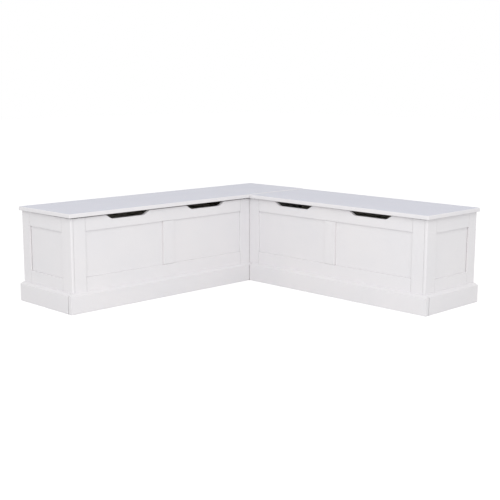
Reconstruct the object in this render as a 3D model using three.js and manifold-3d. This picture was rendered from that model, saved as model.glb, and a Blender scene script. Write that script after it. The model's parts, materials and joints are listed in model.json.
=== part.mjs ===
// Corner storage bench: two painted timber boxes that meet in an L, each with a lid that lifts.
// Millimetres, +Z up, origin on the floor under the middle of the square that the L fits in.
// The room corner is at +X +Y. The long bench backs onto +Y, the short bench onto +X.
// Each bench is built in a frame of its own: X along the bench, Y = 0 at its back, Z = 0 at the floor.
// In there u runs along the bench from the outer face of its free end, and d runs forward from its back.
import * as THREE from "three";
import { mergeVertices } from "three/addons/utils/BufferGeometryUtils.js";
import Module from "manifold-3d";

const wasm = await Module();
wasm.setup();

// Driving dimensions
const legLength = 1525;
const seatDepth = 416;
const boxHeight = 427;
const lidThickness = 19;
const lidGapAtHinge = 4;
const lidGapAtFront = { long: 6.4, short: 4.2 };
const frontOverhang = 20;
const endOverhang = 18;
const frameThickness = 16;
const plinthThickness = 24;
const plinthHeight = 91;
const benchGap = 2;
const lidSeam = 2;

// Room between pieces: hidden joints, frame joints that show, more in front of end panels, and plinth corners
const jointGap = 0.3;
const frameJointGap = 0.8;
const endPanelPlay = 0.9;
const plinthCornerGap = 3.5;

// Frame and panels of the front
const frontEndStileEdge = 78;
const innerStileWidth = 66.5;
const muntinWidth = 66;
const topRailLowerEdge = 366;
const bottomRailUpperEdge = 154;
const bottomRailLowerEdge = 40;
const panelRecess = 8;
const panelThickness = 5;
const grooveDepth = 7;

// Frame of the free end
const endFrontStileWidth = 73;
const endRearStileWidth = 61.5;
const endTopRailLowerEdge = 363;
const endBottomRailUpperEdge = 150;
const cornerRoundRadius = 6;
const cornerLip = 13;

// Hand holes, at these shares of the top rail's length
const handHoleShares = [0.25, 0.75];
const handHoleTopWidth = 249;
const handHoleBottomWidth = 190;
const handHoleDepth = 20;
const handHoleLowerRound = 12;
const handHoleUpperRound = 5;

// Plinth section
const plinthChamferRise = 8.5;
const plinthTopFlat = 5;

// Inside of the box
const backInset = 6.2;
const backThickness = 9;
const hingeRailThickness = 24;
const hingeRailHeight = 60;
const floorHeight = 60;
const floorThickness = 12;
const floorGroove = 6;

// Lid hinge: a continuous strip of two leaves on one pin
const hingeSetback = 3.2;
const hingeDrop = 2.7;
const knuckleRadius = 2.5;
const knuckleBore = 1.35;
const pinRadius = 1;
const leafThickness = 1.5;
const leafWidth = 17;
const leafLift = 0.2;
const knucklePitch = 80;
const knuckleGap = 0.4;
const hingeEndMargin = 40;

// Lid edges and rubber buffers
const lidRound = 4;
const lidLowerRound = 2.2;
const lidBackClearance = 0.5;
const bufferRadius = 6;
const bufferTipRadius = 5;
const bufferFloat = 0.4;

// Folding lid stay: its four pivots are the corners of a parallelogram
const stayReach = 150;
const stayLidDrop = 14;
const stayPostForward = 38;
const stayPostDown = 120;
const armThickness = 3;
const armWidth = 16;
const armHoleRadius = 3.4;
const studRadius = 3;
const studHeadRadius = 5;
const studHeadThickness = 1.5;
const plateThickness = 2.5;
const armClearance = 0.6;
const wallPlateWidth = 34;
const wallPlateHeight = 60;
const lidPlateLength = 56;
const lidPlateWidth = 22;
const lidEarWidth = 20;

// Bolts that join the short bench to the long one
const boltRadius = 4;
const boltHeadRadius = 9;
const boltHeadThickness = 4;
const boltHoleRadius = 4.4;
const boltsFromWall = { rear: 90, front: 300 };
const boltHeight = 230;

// How finely round shapes are drawn: sides of a full circle, and steps along one curve
const rodSides = 16;
const knuckleSides = 20;
const boreSides = 12;
const pinSides = 10;
const boltHeadSides = 24;
const curveSteps = 6;
const lidEdgeSteps = 3;

// How far a cutting shape runs past a face, and the distance at which two points are one
const cutPast = 1;
const weldDistance = 1e-4;

// Worked out from the driving dimensions
const boxDepth = seatDepth - frontOverhang;
const frontInside = boxDepth - frameThickness;
const boxLength = legLength - endOverhang;
const visibleLength = boxLength - boxDepth;
const halfSquare = (boxLength + plinthThickness) / 2;
const hingeHeight = boxHeight + lidGapAtHinge - hingeDrop;
const innerStileEdge = visibleLength - innerStileWidth;
const muntinStart = (frontEndStileEdge + innerStileEdge - muntinWidth) / 2;
const muntinEnd = muntinStart + muntinWidth;
const quarterTurn = Math.PI / 2;

const painted = { roughness: 0.45, metalness: 0 };
const steel = { roughness: 0.35, metalness: 1 };
const materials = {
  frame: new THREE.MeshStandardMaterial({ name: "frame_paint", color: 0xe6e4e2, ...painted }),
  lid: new THREE.MeshStandardMaterial({ name: "lid_paint", color: 0xd6d9e2, ...painted }),
  board: new THREE.MeshStandardMaterial({ name: "inner_board", color: 0xd9d2c4, roughness: 0.7 }),
  hinge: new THREE.MeshStandardMaterial({ name: "hinge_steel", color: 0xb9b4a6, ...steel }),
  stay: new THREE.MeshStandardMaterial({ name: "stay_steel", color: 0xc2c3c5, ...steel }),
  rubber: new THREE.MeshStandardMaterial({ name: "rubber", color: 0x2b2b2d, roughness: 0.8 }),
};

// How far a lid leans back, from the gap under its front edge
function tiltFor(gapAtFront) {
  return Math.atan2(gapAtFront - lidGapAtHinge, seatDepth);
}

// The bench's own layout: which way u runs along X, and where its boards, lid and plinth stop
const benches = {
  long: {
    side: 1,
    length: boxLength,
    frontEnd: visibleLength,
    lidEnd: boxLength - lidBackClearance,
    lidTilt: tiltFor(lidGapAtFront.long),
    plinthEnd: visibleLength - lidSeam,
  },
  short: {
    side: -1,
    length: visibleLength - benchGap,
    frontEnd: visibleLength - benchGap,
    lidEnd: boxLength - seatDepth - lidSeam,
    lidTilt: tiltFor(lidGapAtFront.short),
    plinthEnd: visibleLength - plinthThickness - benchGap,
  },
};

// Closed shapes, and the cuts and joins made on them

function toSolid(geometry) {
  const bare = geometry.clone();
  bare.deleteAttribute("normal");
  bare.deleteAttribute("uv");
  const merged = mergeVertices(bare, weldDistance);
  return new wasm.Manifold(new wasm.Mesh({
    numProp: 3,
    vertProperties: new Float32Array(merged.attributes.position.array),
    triVerts: new Uint32Array(merged.index.array),
  }));
}

function toGeometry(solid) {
  const mesh = solid.getMesh();
  const geometry = new THREE.BufferGeometry();
  geometry.setAttribute("position", new THREE.BufferAttribute(mesh.vertProperties, 3));
  geometry.setIndex(new THREE.BufferAttribute(mesh.triVerts, 1));
  geometry.computeVertexNormals();
  return geometry;
}

function join(first, ...others) {
  return toGeometry(others.reduce((solid, other) => solid.add(toSolid(other)), toSolid(first)));
}

function cut(body, ...cutters) {
  return toGeometry(cutters.reduce((solid, cutter) => solid.subtract(toSolid(cutter)), toSolid(body)));
}

function ordered([a, b]) {
  return [Math.min(a, b), Math.max(a, b)];
}

// A square-edged block from its ranges along X, Y and Z
function block(...ranges) {
  const [x, y, z] = ranges.map(ordered);
  const geometry = new THREE.BoxGeometry(x[1] - x[0], y[1] - y[0], z[1] - z[0]);
  return geometry.translate((x[0] + x[1]) / 2, (y[0] + y[1]) / 2, (z[0] + z[1]) / 2);
}

// The room that a board needs: its ranges, grown by the joint gap on every side
function roomFor(ranges) {
  return block(...ranges.map(ordered).map(([low, high]) => [low - jointGap, high + jointGap]));
}

// The range of Y between two depths counted forward from the back
function depths(d0, d1) {
  return [-d1, -d0];
}

function rodAlongX(radius, range, y, z, sides = rodSides) {
  const [low, high] = ordered(range);
  const rod = new THREE.CylinderGeometry(radius, radius, high - low, sides);
  return rod.rotateZ(quarterTurn).translate((low + high) / 2, y, z);
}

function extruded(shape, depth) {
  return new THREE.ExtrudeGeometry(shape, { depth, bevelEnabled: false, curveSegments: curveSteps });
}

// An outline drawn in Y and Z, run along X
function runAlongX(shape, range) {
  const [low, high] = ordered(range);
  return extruded(shape, high - low).rotateZ(quarterTurn).rotateY(quarterTurn).translate(low, 0, 0);
}

// A flat bar drawn in Y and Z with round ends at two points, and a hole at each point that has a radius
function flatBar(from, to, width, holeRadii, range) {
  const along = Math.atan2(to[1] - from[1], to[0] - from[0]);
  const shape = new THREE.Shape();
  shape.absarc(...to, width / 2, along - quarterTurn, along + quarterTurn);
  shape.absarc(...from, width / 2, along + quarterTurn, along + 3 * quarterTurn);
  [from, to].forEach((point, index) => {
    const radius = holeRadii[index];
    if (radius > 0) shape.holes.push(new THREE.Path().absarc(...point, radius, 0, 2 * Math.PI));
  });
  return runAlongX(shape, range);
}

// Puts a piece where its geometry lies, with the mesh's own origin at the middle of the piece
function place(parent, name, geometry, material) {
  geometry.computeBoundingBox();
  const middle = geometry.boundingBox.getCenter(new THREE.Vector3());
  const mesh = new THREE.Mesh(geometry.translate(-middle.x, -middle.y, -middle.z), material);
  mesh.name = name;
  mesh.position.copy(middle);
  parent.add(mesh);
}

// Outlines of the shaped timber

// A plinth board that stands against the box at base: upright face, sloped top
function plinthSection(base, outward) {
  const face = base + outward * plinthThickness;
  const section = new THREE.Shape();
  section.moveTo(base, 0);
  section.lineTo(face, 0);
  section.lineTo(face, plinthHeight - plinthChamferRise);
  section.lineTo(base + outward * plinthTopFlat, plinthHeight);
  section.lineTo(base, plinthHeight);
  return section;
}

// The space that a hand hole takes out of the top rail: sloped ends with rounded corners
function handHoleSpace(middleX) {
  const topHalf = handHoleTopWidth / 2;
  const bottomHalf = handHoleBottomWidth / 2;
  const slope = Math.hypot(topHalf - bottomHalf, handHoleDepth);
  const upSlope = (distance) => [
    (distance * (topHalf - bottomHalf)) / slope,
    (distance * handHoleDepth) / slope,
  ];
  const [upperX, upperZ] = upSlope(handHoleUpperRound);
  const [lowerX, lowerZ] = upSlope(handHoleLowerRound);
  const low = boxHeight - handHoleDepth;
  const over = boxHeight + handHoleDepth;
  const outline = new THREE.Shape();
  outline.moveTo(-topHalf - handHoleUpperRound, over);
  outline.lineTo(-topHalf - handHoleUpperRound, boxHeight);
  outline.quadraticCurveTo(-topHalf, boxHeight, -topHalf + upperX, boxHeight - upperZ);
  outline.lineTo(-bottomHalf - lowerX, low + lowerZ);
  outline.quadraticCurveTo(-bottomHalf, low, -bottomHalf + handHoleLowerRound, low);
  outline.lineTo(bottomHalf - handHoleLowerRound, low);
  outline.quadraticCurveTo(bottomHalf, low, bottomHalf + lowerX, low + lowerZ);
  outline.lineTo(topHalf - upperX, boxHeight - upperZ);
  outline.quadraticCurveTo(topHalf, boxHeight, topHalf + handHoleUpperRound, boxHeight);
  outline.lineTo(topHalf + handHoleUpperRound, over);
  const space = extruded(outline, frameThickness + 2 * cutPast).rotateX(quarterTurn);
  return space.translate(middleX, cutPast - frontInside, 0);
}

// The front stile of the free end: its outer arris is rounded, and it is rabbeted to leave a lip at the front
function cornerStile(alongX) {
  const rear = endFrontStileWidth - boxDepth;
  const rabbet = jointGap - frontInside;
  const section = new THREE.Shape();
  section.moveTo(alongX(0), rear);
  section.lineTo(alongX(frameThickness), rear);
  section.lineTo(alongX(frameThickness), rabbet);
  section.lineTo(alongX(cornerLip), rabbet);
  section.lineTo(alongX(cornerLip), -boxDepth);
  section.lineTo(alongX(cornerRoundRadius), -boxDepth);
  section.quadraticCurveTo(alongX(0), -boxDepth, alongX(0), -boxDepth + cornerRoundRadius);
  return extruded(section, boxHeight);
}

// The holes of the joining bolts, drawn in the short bench's frame
function boltHoles() {
  const run = [frontInside - cutPast, boxDepth + benchGap + frameThickness + cutPast];
  const hole = (distance) => rodAlongX(boltHoleRadius, run, -distance, boltHeight);
  return Object.values(boltsFromWall).map(hole);
}

// Sub-parts of a bench

// Floor board in its groove, thin back board, and the rail along the back that carries the hinge
function makeFloorAndBack(add, span, length) {
  const inner = span(frameThickness + jointGap, length - frameThickness - jointGap);
  const railFoot = boxHeight - hingeRailHeight;
  const backRange = depths(backInset, backInset + backThickness);
  const railRange = depths(backInset, backInset + hingeRailThickness);
  const floor = [
    span(frameThickness - floorGroove, length - frameThickness + floorGroove),
    depths(backInset + backThickness + jointGap, frontInside + floorGroove),
    [floorHeight, floorHeight + floorThickness],
  ];
  add("back_board", block(inner, backRange, [0, railFoot - jointGap]), materials.board);
  add("hinge_rail", block(inner, railRange, [railFoot, boxHeight]), materials.board);
  add("floor_board", block(...floor), materials.board);
  return roomFor(floor);
}

// Front: two stiles, a muntin and two rails round two panels that sit in grooves
function makeFront(add, span, alongX, floorRoom, frontEnd) {
  const panel = (u0, u1) => [
    span(u0 - grooveDepth, u1 + grooveDepth),
    depths(boxDepth - panelRecess - panelThickness, boxDepth - panelRecess),
    [bottomRailUpperEdge - grooveDepth, topRailLowerEdge + grooveDepth],
  ];
  const outerPanel = panel(frontEndStileEdge, muntinStart);
  const innerPanel = panel(muntinEnd, innerStileEdge);
  const grooves = [roomFor(outerPanel), roomFor(innerPanel), floorRoom];
  const member = (label, u0, u1, z0, z1, ...spaces) => {
    const timber = block(span(u0, u1), depths(frontInside, boxDepth), [z0, z1]);
    add(`front_${label}`, cut(timber, ...grooves, ...spaces), materials.frame);
  };
  const railStart = frontEndStileEdge + frameJointGap;
  const railEnd = innerStileEdge - frameJointGap;
  const muntinFoot = bottomRailUpperEdge + frameJointGap;
  const muntinHead = topRailLowerEdge - frameJointGap;
  const alongRail = (share) => alongX(railStart + share * (railEnd - railStart));
  const handHoles = handHoleShares.map((share) => handHoleSpace(alongRail(share)));
  member("end_stile", cornerLip + frameJointGap, frontEndStileEdge, 0, boxHeight);
  member("inner_stile", innerStileEdge, frontEnd, 0, boxHeight);
  member("muntin", muntinStart, muntinEnd, muntinFoot, muntinHead);
  member("bottom_rail", railStart, railEnd, bottomRailLowerEdge, bottomRailUpperEdge);
  member("top_rail", railStart, railEnd, topRailLowerEdge, boxHeight, ...handHoles);
  add("front_outer_panel", block(...outerPanel), materials.frame);
  add("front_inner_panel", block(...innerPanel), materials.frame);
}

// Free end: two stiles and two rails round one panel, which is held tight in the rails only.
// The lip of its front stile covers the end of the front frame.
function makeEnd(add, span, alongX, floorRoom) {
  const panel = (play) => [
    span(panelRecess - play, panelRecess + panelThickness),
    depths(endRearStileWidth - grooveDepth, boxDepth - endFrontStileWidth + grooveDepth),
    [endBottomRailUpperEdge - grooveDepth, endTopRailLowerEdge + grooveDepth],
  ];
  const tightGroove = roomFor(panel(0));
  const looseGroove = roomFor(panel(endPanelPlay));
  const member = (label, d0, d1, z0, z1, groove) => {
    const timber = block(span(0, frameThickness), depths(d0, d1), [z0, z1]);
    add(`end_${label}`, cut(timber, groove, floorRoom), materials.frame);
  };
  const railBack = endRearStileWidth + frameJointGap;
  const railFront = boxDepth - endFrontStileWidth - frameJointGap;
  member("rear_stile", 0, endRearStileWidth, 0, boxHeight, looseGroove);
  member("top_rail", railBack, railFront, endTopRailLowerEdge, boxHeight, tightGroove);
  member("bottom_rail", railBack, railFront, bottomRailLowerEdge, endBottomRailUpperEdge, tightGroove);
  add("end_front_stile", cut(cornerStile(alongX), looseGroove, floorRoom), materials.frame);
  add("end_panel", block(...panel(0)), materials.frame);
}

// Plain boards where the benches meet: the far end of each, and the long bench's front behind the short one
function makeHiddenBoards(add, span, floorRoom, { side, length, frontEnd }) {
  const farEndRun = span(length - frameThickness, length);
  const farEnd = block(farEndRun, depths(0, frontInside - jointGap), [0, boxHeight]);
  if (side > 0) {
    const holes = boltHoles().map((hole) => hole.rotateZ(-quarterTurn));
    const corner = block(span(frontEnd + jointGap, length), depths(frontInside, boxDepth), [0, boxHeight]);
    add("corner_end_board", cut(farEnd, floorRoom), materials.frame);
    add("front_corner_board", cut(corner, floorRoom, ...holes), materials.frame);
  } else {
    add("inner_end_board", cut(farEnd, floorRoom, ...boltHoles()), materials.frame);
  }
}

// Plinth: the front board runs past the end of the end board, so its end grain shows at the corner
function makePlinth(add, span, alongX, { side, plinthEnd }) {
  const front = runAlongX(plinthSection(-boxDepth, -1), span(-plinthThickness, plinthEnd));
  const end = extruded(plinthSection(0, -side), boxDepth - plinthCornerGap).rotateX(quarterTurn);
  add("plinth_front", front, materials.frame);
  add("plinth_end", end.translate(alongX(0), 0, 0), materials.frame);
}

// Rubber buffers on the top edge of the front, which hold the lid's front edge clear of it
function makeBuffers(add, alongX, { lidTilt }) {
  const depth = boxDepth - frameThickness / 2;
  const height = lidGapAtHinge + Math.tan(lidTilt) * depth - bufferFloat;
  const places = { end: frontEndStileEdge / 2, inner: innerStileEdge + innerStileWidth / 2 };
  for (const [label, u] of Object.entries(places)) {
    const buffer = new THREE.CylinderGeometry(bufferTipRadius, bufferRadius, height, rodSides);
    buffer.rotateX(quarterTurn).translate(alongX(u), -depth, boxHeight + height / 2);
    add(`buffer_${label}`, buffer, materials.rubber);
  }
}

// One leaf of the strip hinge, drawn about its pin, with gaps where the other leaf has its knuckles
function hingeLeaf(plateLow, firstGap, { start, count, pitch }) {
  const run = [start, start + count * pitch];
  const reach = knuckleRadius + knuckleGap;
  const plate = block(run, [-leafWidth, 0], [plateLow, plateLow + leafThickness]);
  const knuckles = rodAlongX(knuckleRadius, run, 0, 0, knuckleSides);
  const bore = rodAlongX(knuckleBore, [run[0] - cutPast, run[1] + cutPast], 0, 0, boreSides);
  const gaps = [];
  for (let index = firstGap; index < count; index += 2) {
    const low = start + index * pitch - knuckleGap / 2;
    gaps.push(block([low, low + pitch + knuckleGap], [-reach, reach], [-reach, reach]));
  }
  return cut(join(plate, knuckles), bore, ...gaps);
}

// A lid's board, as the hull of a ball in each corner: its upper edges are round, its lower ones only eased
function lidBoard(x, y, z) {
  const balls = [];
  for (const [radius, height] of [[lidRound, z[1] - lidRound], [lidLowerRound, z[0] + lidLowerRound]]) {
    for (const cornerX of [x[0] + radius, x[1] - radius]) {
      for (const cornerY of [y[0] + radius, y[1] - radius]) {
        const ball = new THREE.SphereGeometry(radius, 4 * lidEdgeSteps, 2 * lidEdgeSteps);
        balls.push(toSolid(ball.rotateX(quarterTurn).translate(cornerX, cornerY, height)));
      }
    }
  }
  return toGeometry(wasm.Manifold.hull(balls));
}

// The lid and its hinge leaf hang in a group whose origin is on the hinge pin
function makeHingeAndLid(bench, name, add, span, { length, lidEnd, lidTilt }) {
  const pinAt = [0, -hingeSetback, hingeHeight];
  const lidGroup = new THREE.Group();
  lidGroup.position.set(...pinAt);
  lidGroup.rotation.x = -lidTilt;
  bench.add(lidGroup);

  const [start, end] = ordered(span(hingeEndMargin, length - hingeEndMargin));
  const count = 2 * Math.round((end - start) / knucklePitch / 2) + 1;
  const layout = { start, count, pitch: (end - start) / count };
  const boxPlateLow = boxHeight + leafLift - hingeHeight;
  const lidPlateLow = hingeDrop - leafLift - leafThickness;
  add("hinge_box_leaf", hingeLeaf(boxPlateLow, 1, layout).translate(...pinAt), materials.hinge);
  add("hinge_pin", rodAlongX(pinRadius, [start, end], pinAt[1], pinAt[2], pinSides), materials.hinge);
  place(lidGroup, `${name}_hinge_lid_leaf`, hingeLeaf(lidPlateLow, 0, layout), materials.hinge);

  const lidRun = ordered(span(-endOverhang, lidEnd));
  const lidDepths = depths(lidBackClearance - hingeSetback, seatDepth - hingeSetback);
  const lid = lidBoard(lidRun, lidDepths, [hingeDrop, hingeDrop + lidThickness]);
  place(lidGroup, `${name}_lid`, lid, materials.lid);
}

// Folding stay on the inner face of the free end. Its lower arm stays parallel to the lid.
function makeStay(bench, name, add, span, { lidTilt }) {
  const level = (start, thickness) => span(start, start + thickness);
  const wall = frameThickness + jointGap;
  const lowerArm = wall + plateThickness + armClearance;
  const upperArm = lowerArm + armThickness + armClearance;
  const ear = upperArm + armThickness + armClearance;
  const post = [-hingeSetback - stayPostForward, hingeHeight - stayPostDown];
  const lidPivot = [-stayReach, -stayLidDrop];
  const stud = (from, length, [y, z]) => rodAlongX(studRadius, level(from, length), y, z);
  const head = (from, [y, z]) => rodAlongX(studHeadRadius, level(from, studHeadThickness), y, z);
  const hung = ([y, z], tilt) => {
    const group = new THREE.Group();
    group.position.set(0, y, z);
    group.rotation.x = -tilt;
    bench.add(group);
    return group;
  };

  // Wall plate with the post that the lower arm turns on
  const halfPlate = [wallPlateWidth / 2, wallPlateHeight / 2];
  const plate = block(level(wall, plateThickness), ...halfPlate.map((half) => [-half, half]));
  const postRoot = wall + plateThickness / 2;
  const wallPlate = join(plate, stud(postRoot, upperArm - postRoot, [0, 0]), head(upperArm, [0, 0]));
  add("stay_wall_plate", wallPlate.translate(0, ...post), materials.stay);

  // Lower arm with the elbow pin
  const lower = flatBar([0, 0], lidPivot, armWidth, [armHoleRadius, 0], level(lowerArm, armThickness));
  const elbowRoot = lowerArm + armThickness / 2;
  const elbow = stud(elbowRoot, ear - elbowRoot, lidPivot);
  const lowerWithElbow = join(lower, elbow, head(ear, lidPivot));
  place(hung(post, lidTilt), `${name}_stay_lower_arm`, lowerWithElbow, materials.stay);

  // Upper arm, from the lid bracket's pin down to the elbow
  const cosTilt = Math.cos(lidTilt);
  const sinTilt = Math.sin(lidTilt);
  const bracketPin = [
    -hingeSetback + lidPivot[0] * cosTilt + lidPivot[1] * sinTilt,
    hingeHeight - lidPivot[0] * sinTilt + lidPivot[1] * cosTilt,
  ];
  const elbowPoint = [-stayPostForward, -stayPostDown];
  const holes = [armHoleRadius, armHoleRadius];
  const upper = flatBar([0, 0], elbowPoint, armWidth, holes, level(upperArm, armThickness));
  place(hung(bracketPin, 0), `${name}_stay_upper_arm`, upper, materials.stay);

  // Lid bracket: a foot under the lid and an ear with the pin of the upper arm
  const footTop = hingeDrop - leafLift;
  const footEnds = [lidPivot[0] - lidPlateLength / 2, lidPivot[0] + lidPlateLength / 2];
  const foot = block(level(ear, lidPlateWidth), footEnds, [footTop - plateThickness, footTop]);
  const earPlate = flatBar(lidPivot, [lidPivot[0], 0], lidEarWidth, [0, 0], level(ear, plateThickness));
  const earTrimRun = level(ear - cutPast, plateThickness + 2 * cutPast);
  const earTrim = block(earTrimRun, footEnds, [footTop, footTop + lidEarWidth]);
  const pinStart = upperArm - armClearance;
  const pin = stud(pinStart, ear + plateThickness / 2 - pinStart, lidPivot);
  const pinHead = head(pinStart - studHeadThickness, lidPivot);
  const bracket = cut(join(foot, earPlate, pin, pinHead), earTrim);
  place(hung([-hingeSetback, hingeHeight], lidTilt), `${name}_stay_lid_bracket`, bracket, materials.stay);
}

// Bolts through the short bench's inner end board and the long bench's front, in the short bench's frame
function makeJoiningBolts(bench) {
  const nutFace = frontInside - jointGap;
  const headFace = boxDepth + benchGap + frameThickness + jointGap;
  const run = [nutFace - boltHeadThickness, headFace + boltHeadThickness];
  for (const [label, distance] of Object.entries(boltsFromWall)) {
    const shank = rodAlongX(boltRadius, run, -distance, boltHeight);
    const nut = rodAlongX(boltHeadRadius, [run[0], nutFace], -distance, boltHeight, boltHeadSides);
    const boltHead = rodAlongX(boltHeadRadius, [headFace, run[1]], -distance, boltHeight, boltHeadSides);
    place(bench, `joining_bolt_${label}`, join(shank, nut, boltHead), materials.stay);
  }
}

function makeBench(name, layout) {
  const bench = new THREE.Group();
  const alongX = (u) => layout.side * (u - boxLength);
  const span = (u0, u1) => [alongX(u0), alongX(u1)];
  const add = (label, geometry, material) => place(bench, `${name}_${label}`, geometry, material);
  const floorRoom = makeFloorAndBack(add, span, layout.length);
  makeFront(add, span, alongX, floorRoom, layout.frontEnd);
  makeEnd(add, span, alongX, floorRoom);
  makeHiddenBoards(add, span, floorRoom, layout);
  makePlinth(add, span, alongX, layout);
  makeBuffers(add, alongX, layout);
  makeHingeAndLid(bench, name, add, span, layout);
  makeStay(bench, name, add, span, layout);
  return bench;
}

const longBench = makeBench("long", benches.long);
const shortBench = makeBench("short", benches.short);
makeJoiningBolts(shortBench);
shortBench.rotation.z = -quarterTurn;

const cornerBench = new THREE.Group();
cornerBench.add(longBench, shortBench);
cornerBench.position.set(halfSquare, halfSquare, 0);

export default cornerBench;
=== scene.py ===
import json
import math

import bpy
from mathutils import Matrix, Vector


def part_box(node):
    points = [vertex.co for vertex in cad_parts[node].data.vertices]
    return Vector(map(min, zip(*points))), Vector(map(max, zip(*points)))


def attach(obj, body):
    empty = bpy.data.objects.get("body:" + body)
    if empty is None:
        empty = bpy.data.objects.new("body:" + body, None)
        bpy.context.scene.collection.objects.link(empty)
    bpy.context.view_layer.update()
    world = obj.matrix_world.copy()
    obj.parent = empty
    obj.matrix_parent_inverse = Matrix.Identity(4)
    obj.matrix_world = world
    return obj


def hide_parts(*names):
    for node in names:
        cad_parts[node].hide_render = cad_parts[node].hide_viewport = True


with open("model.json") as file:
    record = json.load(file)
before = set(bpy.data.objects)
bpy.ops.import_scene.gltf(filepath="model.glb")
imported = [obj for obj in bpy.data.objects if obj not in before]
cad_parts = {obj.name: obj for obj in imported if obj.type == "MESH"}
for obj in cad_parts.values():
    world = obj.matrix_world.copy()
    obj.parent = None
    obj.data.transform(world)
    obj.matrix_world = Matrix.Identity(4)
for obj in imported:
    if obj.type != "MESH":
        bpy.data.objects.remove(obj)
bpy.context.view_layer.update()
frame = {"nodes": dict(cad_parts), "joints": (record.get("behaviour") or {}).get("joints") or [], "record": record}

bl_info = {
    "name": "Corner storage bench",
    "version": (1, 0, 0),
    "blender": (4, 5, 0),
    "location": "View3D > Sidebar > Corner bench",
    "description": "Gives the corner storage bench its paint, boards, fixings and stage",
    "category": "Object",
}

# Places are in metres in the model's own frame. The room corner is at +X +Y.
# Each bench is measured by u, along it from the outer face of its free end, by d, forward from its back,
# and by z, up from the floor.
BENCHES = ("long", "short")
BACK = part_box("long_end_rear_stile")[1].y
FREE_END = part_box("long_end_rear_stile")[0].x
RIGHT_ANGLE = math.pi / 2

# Each screw is turned on from the one before by this much
GOLDEN_ANGLE = math.radians(137.5)

# Corners of a mesh that are this near are one corner, and faces that meet at less than this are one face
SHARED_CORNER = 0.00002
SAME_FACE = math.radians(0.6)

# Faces that meet at more than these have an edge that is eased, or that stays sharp when they are smoothed
EASED_FROM = math.radians(38)
SHARP_FROM = math.radians(46)
SHARP_ON_FIXINGS = math.radians(32)

# Sockets of a Mix node for colours
MIX_FACTOR, MIX_FIRST, MIX_SECOND, MIX_RESULT = 0, 6, 7, 2

# The direction of the grain in each painted member of a bench
MEMBERS = {
    "front_end_stile": "up",
    "front_inner_stile": "up",
    "front_muntin": "up",
    "front_top_rail": "along",
    "front_bottom_rail": "along",
    "front_outer_panel": "along",
    "front_inner_panel": "along",
    "end_front_stile": "up",
    "end_rear_stile": "up",
    "end_top_rail": "across",
    "end_bottom_rail": "across",
    "end_panel": "up",
}

# The members whose edges beside a recessed panel take painted shade, and which way those edges face
RECESS_SIDES = {
    "front_end_stile": ("inwards",),
    "front_muntin": ("inwards", "outwards"),
    "end_front_stile": ("back",),
    "end_rear_stile": ("forward",),
}

# Each plinth board: the direction of its grain, and which way its face looks
PLINTHS = {"plinth_front": ("along", "forward"), "plinth_end": ("across", "outwards")}

# The painted boards where the benches meet and the plywood boards inside each bench, with their grain
HIDDEN_BOARDS = {
    "long_corner_end_board": "up",
    "long_front_corner_board": "up",
    "short_inner_end_board": "up",
}
INNER_BOARDS = {"back_board": "along", "hinge_rail": "along", "floor_board": "along"}


def record_colour(slot):
    """The base colour that the record gives a material slot."""
    for entry in frame["record"]["materials"]:
        if entry["slot"] == slot:
            return tuple(entry["base_color"][:3])
    raise ValueError(f"the record has no material slot named {slot}")


def colour_property(name, description, default):
    return bpy.props.FloatVectorProperty(
        name=name, description=description, default=default, size=3, subtype="COLOR", min=0.0, max=1.0
    )


def length_property(name, description, default):
    return bpy.props.FloatProperty(
        name=name, description=description, default=default, min=0.0, subtype="DISTANCE", unit="LENGTH"
    )


def angle_property(name, description, default):
    return bpy.props.FloatProperty(
        name=name, description=description, default=default, subtype="ANGLE", unit="ROTATION"
    )


class CornerBenchColours(bpy.types.PropertyGroup):
    """Colours of the paints, boards and metals"""

    frame_paint: colour_property(
        "Frame paint", "Paint of the frames, panels and plinths", record_colour("frame_paint")
    )
    lid_paint: colour_property("Lid paint", "Paint of the lids' upper faces", record_colour("lid_paint"))
    board: colour_property(
        "Inner boards", "Pale plywood of the floors and backs", record_colour("inner_board")
    )
    hinge_steel: colour_property(
        "Hinge steel", "Plated steel of the strip hinges", record_colour("hinge_steel")
    )
    stay_steel: colour_property(
        "Stay steel", "Zinc-plated steel of the stays and bolts", record_colour("stay_steel")
    )
    rubber: colour_property("Rubber", "Rubber of the bumpers", record_colour("rubber"))
    floor: colour_property("Floor", "The pale floor under the bench", (0.7, 0.7, 0.7))


class CornerBenchSizes(bpy.types.PropertyGroup):
    """Sizes of eased edges and fixings"""

    frame_edge: length_property("Frame edges", "How far the edges of the frames are eased", 0.0004)
    panel_edge: length_property("Panel edges", "How far the edges of the panels are eased", 0.0004)
    plinth_edge: length_property("Plinth edges", "How far the edges of the plinths are eased", 0.0008)
    plinth_joint_edge: length_property(
        "Plinth joint edges", "How far they are eased at the corner joint", 0.003
    )
    # This is also how far the painted shade and dirt in the frames' joints reaches
    frame_joint: length_property("Frame joints", "Widest gap that counts as a joint in the frames", 0.003)
    # This is also how far the painted shade and dirt in the plinths' joints reaches
    plinth_joint: length_property(
        "Plinth joints", "Widest gap that counts as a joint in the plinths", 0.009
    )
    board_edge: length_property("Board edges", "How far the edges of the inner boards are eased", 0.0005)
    stay_edge: length_property("Stay edges", "How far the edges of the stays are eased", 0.0004)
    hinge_edge: length_property("Hinge edges", "How far the edges of the hinges are eased", 0.00015)
    hinge_screw_spacing: length_property(
        "Hinge screw spacing", "Distance between screws along a hinge", 0.075
    )
    hinge_screw_setback: length_property("Hinge screw setback", "From the hinge pin to its screws", 0.0105)
    screw_head: length_property("Screw heads", "Radius of a countersunk screw's head", 0.003)
    pin_head: length_property("Panel pin heads", "Radius of a panel pin's head", 0.0016)
    pin_spacing: length_property("Panel pin spacing", "Distance between pins along a back board", 0.16)
    arm_gap: length_property("Arm gaps", "Room between the arms and plates of a stay", 0.0006)
    washer_rim: length_property("Stay washers", "Radius of the washers at the pivots of a stay", 0.0062)
    washer_thickness: length_property("Washer thickness", "Thickness of those washers", 0.0005)


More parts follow.
